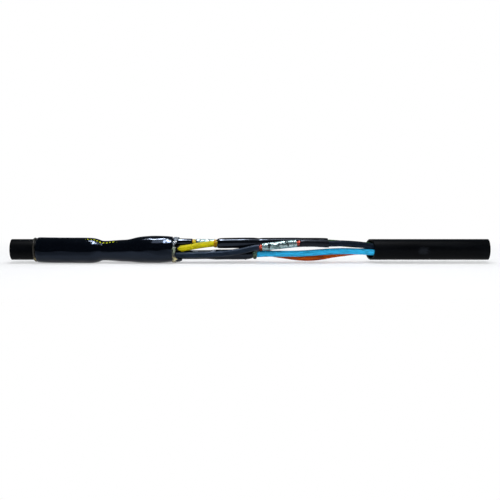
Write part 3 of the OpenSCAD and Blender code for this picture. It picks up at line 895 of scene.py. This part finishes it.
class JOINT_OT_connectors(bpy.types.Operator):
    """Model the crimped butt connectors, with dents pressed into the barrel"""

    bl_idname = "cable_joint.connectors"
    bl_label = "Connectors"

    # Share of the length, and share of the radius, of the barrel before it is crimped
    BARREL = [
        (0.0, 0.86), (0.01, 0.94), (0.03, 0.99), (0.1, 1.0), (0.24, 1.01),
        (0.3, 0.98), (0.36, 1.01), (0.5, 1.02), (0.64, 1.01), (0.7, 0.98),
        (0.78, 1.01), (0.9, 1.0), (0.97, 0.99), (0.99, 0.94), (1.0, 0.86)]

    # Each dent: place along the barrel from its middle, half length and depth in
    # millimetres, the way it faces (180 is to the viewer) and its half width in degrees
    DENTS = {
        "black": [
            (-11.0, 1.5, 1.25, 175, 105), (-16.0, 1.1, 0.5, 130, 60),
            (-4.5, 2.6, 0.55, 120, 50), (-1.0, 1.5, 0.6, 165, 40),
            (1.6, 1.5, 0.6, 185, 45), (4.0, 1.4, 0.7, 150, 45),
            (7.6, 1.4, 1.1, 135, 60), (9.0, 1.3, 1.1, 185, 60),
            (12.0, 1.5, 0.7, 150, 50), (14.8, 1.2, 0.8, 190, 60),
            (16.0, 1.0, 0.5, 140, 50)],
        "brown": [
            (-13.0, 1.5, 0.45, 120, 75), (-8.0, 1.2, 0.35, 100, 50),
            (-3.0, 1.6, 0.45, 125, 70), (3.0, 1.3, 0.35, 90, 60),
            (8.0, 1.6, 0.45, 120, 70), (13.0, 1.5, 0.4, 100, 70)],
    }
    LENGTH = 37.0
    WALL = 1.1

    def press(self, obj, dent):
        """Presses one dent: three nested patches move inwards by a third each."""
        x, reach, depth, facing, spread = dent
        angle = math.radians(facing)
        way = Vector((0, math.cos(angle), math.sin(angle)))

        def inside(place, share):
            off = math.degrees(math.atan2(place.z, place.y)) - facing
            off = (off + 180) % 360 - 180
            along = (place.x / MM - x) / reach
            return along ** 2 + (off / spread) ** 2 < share ** 2

        for share in (1.0, 0.72, 0.42):
            move_points(obj, lambda place, share=share: inside(place, share),
                        -depth / 3 * MM * way)

    def barrel(self, core, radius):
        """One crimped barrel along X about the origin, then laid on its core."""
        half = self.LENGTH / 2
        rings = [(Vector(((x - 0.5) * self.LENGTH * MM, 0, 0)),
                  ramp_between(self.BARREL, x) * radius * MM)
                 for x in places_on(self.BARREL, 0.6 / self.LENGTH)]
        obj = extrude_rings(f"{core}_crimped_barrel", rings, 48)
        for dent in self.DENTS[core]:
            self.press(obj, dent)
        # Depth of each point below the uncrimped barrel, which the material turns into
        # painted shade in the dents
        depths = []
        for vertex in obj.data.vertices:
            x, y, z = vertex.co / MM
            whole = ramp_between(self.BARREL, x / self.LENGTH + 0.5) * radius
            depths.append(max(whole - math.hypot(y, z), 0.0))
        attribute = obj.data.attributes.new("dent", "FLOAT", "POINT")
        attribute.data.foreach_set("value", depths)
        start = centre(core, JOINS[core] - half)
        end = centre(core, JOINS[core] + half)
        obj.rotation_mode = "QUATERNION"
        obj.rotation_quaternion = (end - start).to_track_quat("X", "Z")
        obj.location = centre(core, JOINS[core])
        pick(obj)
        bpy.ops.object.transform_apply()
        thicken(obj, self.WALL)
        round_off(obj)
        return obj

    def execute(self, context):
        sizes = context.scene.cable_joint_sizes
        tin = tinned_copper_barrel()
        for core in self.DENTS:
            obj = self.barrel(core, sizes.barrel_radius)
            finish_piece(obj, tin, [f"{core}_connector"])
        for core in ("yellow", "blue"):
            finish_node(f"{core}_connector", tin)
        return {"FINISHED"}


class JOINT_OT_copper(bpy.types.Operator):
    """Model the stranded conductors, bare beside connectors and at the cable's ends"""

    bl_idname = "cable_joint.copper"
    bl_label = "Copper Strands"

    # A strand's radius and how many degrees the strands turn in one millimetre
    STRAND = 0.83
    TURN = 5.5

    def strands(self, core, side):
        """Six strands laid round a middle one along the whole of a conductor."""
        node = f"{core}_conductor_{side}"
        lowest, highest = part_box(node)
        made = []
        for k in range(7):
            rings = []
            for x in steps(lowest[0] / MM, highest[0] / MM, 5.0):
                angle = math.radians(60 * k + self.TURN * x)
                out = 0 if k == 6 else 2 * self.STRAND
                way = Vector((0, out * math.cos(angle), out * math.sin(angle))) * MM
                rings.append((centre(core, x) + way, self.STRAND * MM))
            name = f"{core}_strand_{side}_{k}"
            made.append(extrude_rings(name, rings, 10, caps=True))
        deselect_all()
        for obj in made:
            obj.select_set(True)
        bpy.context.view_layer.objects.active = made[0]
        bpy.ops.object.join()
        made[0].name = f"{core}_strands_{side}"
        return made[0], node

    def execute(self, context):
        material = bare_copper(context.scene.cable_joint_colours.copper)
        for core in ROUTES:
            for side in ("left", "right"):
                obj, node = self.strands(core, side)
                finish_piece(obj, material, [node])
        return {"FINISHED"}


class JOINT_OT_adhesive(bpy.types.Operator):
    """Model the beads, rings and rim of hot melt adhesive"""

    bl_idname = "cable_joint.adhesive"
    bl_label = "Adhesive"

    # Where the bead on the left sheath and the rim on the cut edge stand
    BEAD_X = -0.2268
    RIM_X = -0.079

    def execute(self, context):
        self.ring("amber_ring_on_yellow", "yellow",
                  [(-38.3, 3.45), (-37.8, 3.9), (-36.8, 4.3), (-35.6, 4.35),
                   (-34.7, 4.1)],
                  amber_ring_melt(), "amber_adhesive", "yellow_adhesive_ring")
        self.ring("ring_on_blue", "blue",
                  [(2.9, 4.05), (3.8, 4.35), (5.4, 4.3), (6.7, 3.85), (7.5, 3.45)],
                  green_ring_melt(), "grey_green_adhesive", "blue_adhesive_ring", 1.0)
        self.ring("amber_ring_on_brown", "brown",
                  [(-60.9, 3.35), (-60.2, 3.6), (-58.9, 3.6), (-57.6, 3.4)],
                  yellowish_hot_melt(), "amber_adhesive", "brown_adhesive_ring")
        self.bead()
        self.rim()
        self.lump()
        return {"FINISHED"}

    def ring(self, name, core, profile, material, slot, node, drop=0.0):
        """A ring of adhesive round a core: profile holds X and outside radius.

        A drop of it may hang so many millimetres below the core.
        """
        obj = core_tube(name, core, profile, 1, 24, 0.5)
        if drop:
            marks = [x * MM for x, _ in profile]
            below = centre(core, (marks[0] + marks[-1]) / 2 / MM).z - 0.0032
            move_points(
                obj, lambda place: place.z < below and marks[1] < place.x < marks[-2],
                (-0.2 * MM, 0, -drop * MM))
        choose_all(obj)
        bpy.ops.transform.vertex_random(offset=0.00012, uniform=0.2, normal=0.4, seed=3)
        bpy.ops.object.mode_set(mode="OBJECT")
        round_off(obj)
        finish_piece(obj, material, [node])

    def torus(self, name, x, major, minor, lean=0.0):
        """A plain ring round the cable's axis, to be worked on. Its top leans left."""
        deselect_all()
        bpy.ops.mesh.primitive_torus_add(
            major_radius=major, minor_radius=minor, major_segments=112,
            minor_segments=20, location=(x, 0, AXIS_H),
            rotation=(0, math.pi / 2 - lean, 0))
        return name_new(name)

    def roughen(self, obj, name, size, strength, middle=0.5, direction="NORMAL"):
        """Pushes a surface in and out in soft lumps so many millimetres across."""
        texture = bpy.data.textures.new(name, "CLOUDS")
        texture.noise_scale = size * MM
        texture.noise_depth = 2
        apply_modifier(obj, "DISPLACE", texture=texture, direction=direction,
                       strength=strength, mid_level=middle, texture_coords="LOCAL")

    def bead(self):
        """The bead squeezed out on the left sheath, thicker at the bottom."""
        x = self.BEAD_X
        obj = self.torus("bead_on_left_sheath", x, SHEATH_R + 0.75 * MM, 1.0 * MM, 0.05)
        resize_points(obj, lambda place: place.z < AXIS_H - 0.007, (1.5, 1.03, 1.03),
                      (x, 0, AXIS_H - 0.004))
        self.roughen(obj, "bead_lumps", 3.0, 0.0007)
        round_off(obj)
        finish_piece(obj, squeezed_bead(), ["sleeve_lining"])

    def rim(self):
        """The ragged rim of hot melt left on the outer sleeve's cut edge."""
        x = self.RIM_X
        obj = self.torus("rim_on_cut_edge", x, 12.5 * MM, 1.0 * MM)
        resize_points(obj, lambda place: True, (1.7, 1, 1), (x, 0, AXIS_H))
        # Wide shreds of melt on top, and a drop that hung down and set at the bottom
        resize_points(obj, lambda place: place.z > AXIS_H + 0.007, (1.6, 1, 1),
                      (x - 0.001, 0, AXIS_H))
        move_points(
            obj, lambda place: place.y < -0.008 and abs(place.z - AXIS_H) < 0.006,
            (-0.0013, 0, 0))
        resize_points(obj, lambda place: place.z < AXIS_H - 0.009, (1.7, 1.06, 1.03),
                      (x, 0, AXIS_H))
        self.roughen(obj, "rim_lumps", 3.5, 0.0024, 0.55)
        self.roughen(obj, "rim_rags", 6.0, 0.0055, direction="X")
        round_off(obj)
        finish_piece(obj, squeezed_rim(), ["cut_edge_adhesive"])

    def lump(self):
        """A lump of black melt that came out under the cores."""
        deselect_all()
        place = centre("black", -75.6) + Vector((0, 0.001, -0.004))
        bpy.ops.mesh.primitive_ico_sphere_add(
            subdivisions=4, radius=0.004, location=place)
        bpy.ops.transform.resize(value=(1.05, 1.0, 0.75))
        obj = name_new("melt_lump_under_cores")
        self.roughen(obj, "melt_lumps", 3.0, 0.0016)
        material = shrunk_core_sleeve("black_melt", 0.14, 0.3, 0.4, 0.12)
        finish_piece(obj, material)


class JOINT_OT_sheaths(bpy.types.Operator):
    """Model both cable sheaths, the right one with its skew knife cut"""

    bl_idname = "cable_joint.sheaths"
    bl_label = "Sheaths"

    # Wall, where the knife cut stands, and how far it runs on from the near side to the
    # far one, in millimetres
    WALL = 1.85
    CUT_X = 127.5
    SKEW = 8.0

    def sheath(self, side, profile):
        """One plain sheath: profile holds X and outside radius in millimetres."""
        rings = [(Vector((x * MM, 0, AXIS_H)), radius * MM) for x, radius in profile]
        obj = extrude_rings(f"pvc_sheath_{side}", rings, 96)
        thicken(obj, self.WALL)
        return obj

    def execute(self, context):
        material = extruded_pvc_sheath(context.scene.cable_joint_colours.sheath)
        radius = SHEATH_R / MM
        profile = [(x, radius) for x in steps(LEFT_END / MM, -226, 6)]
        profile += [(x, radius - 0.15) for x in steps(-225.5, -166, 12)]
        left = self.sheath("left", profile)
        finish_piece(left, material, ["left_sheath"])
        profile = [(x, radius) for x in steps(118, RIGHT_END / MM, 6)]
        right = self.sheath("right", profile)
        across = Vector((2 * radius, self.SKEW, 0)).normalized()
        cut(right, (self.CUT_X * MM, 0, AXIS_H), across, clear_inner=True)
        finish_piece(right, material, ["right_sheath"])
        filler = filler_compound()
        for side in ("left", "right"):
            finish_node(f"{side}_inner_covering", filler)
        return {"FINISHED"}


class JOINT_OT_stage(bpy.types.Operator):
    """Set up the pale floor, the lamps, the sky and the camera"""

    bl_idname = "cable_joint.stage"
    bl_label = "Stage"

    # Name, place, X of the aim, size along X and the other way, power, what it lights
    LAMPS = [
        ("overhead_softbox", (0.02, -0.12, 0.86), 0.02, 0.46, 0.6, 6.0, "colour"),
        ("overhead_sheen", (0.02, -0.1, 0.86), 0.02, 0.46, 0.5, 2.0, "gloss"),
        ("bright_strip", (-0.065, -0.13, 0.84), -0.065, 0.11, 0.15, 2.6, "gloss"),
        ("sleeve_strip", (0.045, -0.13, 0.84), 0.045, 0.07, 0.15, 1.05, "gloss"),
        ("deep_softbox", (-0.09, -0.11, 0.85), -0.09, 0.06, 0.5, 3.4, "gloss"),
        ("high_strip", (-0.19, 0.13, 0.84), -0.1, 0.13, 0.06, 2.0, "gloss"),
        ("front_fill", (0.0, -1.3, 0.9), 0, 1.4, 0.9, 11.5, "colour"),
        ("back_fill", (0.0, 1.2, 1.0), 0, 1.4, 0.9, 7.0, "colour"),
    ]
    LAMP_AIM_H = 0.01

    def turn(self, obj, way):
        """Points a lamp or the camera along a way."""
        obj.rotation_euler = way.to_track_quat("-Z", "Y").to_euler()

    def execute(self, context):
        view = context.scene.cable_joint_view
        self.floor()
        self.sky(context)
        for name, place, aim, wide, deep, power, lights in self.LAMPS:
            deselect_all()
            bpy.ops.object.light_add(type="AREA", location=place)
            lamp = context.object
            lamp.name = name
            lamp.data.shape = "RECTANGLE"
            lamp.data.size = wide
            lamp.data.size_y = deep
            lamp.data.energy = power
            lamp.visible_glossy = lights != "colour"
            lamp.visible_diffuse = lights != "gloss"
            self.turn(lamp, Vector((aim, 0, self.LAMP_AIM_H)) - Vector(place))
        deselect_all()
        # The camera looks just under the axis, where the middle of the picture is
        aim = Vector((0, 0, AXIS_H - 0.0006))
        away = Vector((0, -math.cos(view.elevation), math.sin(view.elevation)))
        place = aim + view.distance * away
        bpy.ops.object.camera_add(location=place)
        camera = context.object
        self.turn(camera, aim - place)
        camera.data.angle = 2 * math.atan(view.width / 2 / view.distance)
        camera.data.clip_start = 0.01
        context.scene.camera = camera
        context.scene.view_settings.view_transform = "Standard"
        return {"FINISHED"}

    def floor(self):
        """A wide flat board that the joint lies on."""
        deselect_all()
        bpy.ops.mesh.primitive_grid_add(x_subdivisions=8, y_subdivisions=8, size=12.0)
        board = bpy.context.object
        board.name = "floor_board"
        board.data.materials.append(painted_floor())

    def sky(self, context):
        """White to the camera. The rest sees a white backdrop behind a dim room."""
        world = bpy.data.worlds.new("room")
        context.scene.world = world
        add = start_nodes(world)
        seen = add("LightPath", out="Is Camera Ray")
        way = add("TexCoord", out="Generated")
        way = add("SeparateXYZ", [way]).node.outputs
        low = add("MapRange", [way["Z"], 0.1, 0.3, 1, 0])
        behind = add("MapRange", [way["Y"], 0.15, 0.45])
        backdrop = add("Math", [low, behind], operation="MULTIPLY")
        colour = add("Mix", [backdrop, "#3c4450", "#ffffff"], data_type="RGBA")
        room = add("Background", [colour])
        white = add("Background", ["#ffffff"])
        add("OutputWorld", [add("MixShader", [seen, room, white])])


GROUPS = {
    "cable_joint_sizes": CableJointSizes,
    "cable_joint_colours": CableJointColours,
    "cable_joint_view": CableJointView,
}
STEPS = (
    JOINT_OT_stage, JOINT_OT_sheaths, JOINT_OT_cores, JOINT_OT_connectors,
    JOINT_OT_copper, JOINT_OT_core_sleeves, JOINT_OT_outer_sleeve, JOINT_OT_adhesive,
)


class JOINT_PT_panel(bpy.types.Panel):
    """Lists the steps that build the joint"""

    bl_idname = "JOINT_PT_panel"
    bl_label = "Cable Joint"
    bl_space_type = "VIEW_3D"
    bl_region_type = "UI"
    bl_category = "Cable Joint"

    def draw(self, context):
        for group, settings in GROUPS.items():
            for name in settings.__annotations__:
                self.layout.prop(getattr(context.scene, group), name)
        for step in STEPS:
            self.layout.operator(step.bl_idname)


CLASSES = (*GROUPS.values(), *STEPS, JOINT_PT_panel)


def register():
    for cls in CLASSES:
        bpy.utils.register_class(cls)
    for group, settings in GROUPS.items():
        setattr(bpy.types.Scene, group, bpy.props.PointerProperty(type=settings))


def unregister():
    for group in GROUPS:
        delattr(bpy.types.Scene, group)
    for cls in reversed(CLASSES):
        bpy.utils.unregister_class(cls)


def main():
    register()
    for step in STEPS:
        group, name = step.bl_idname.split(".")
        getattr(getattr(bpy.ops, group), name)()


if __name__ == "__main__":
    main()
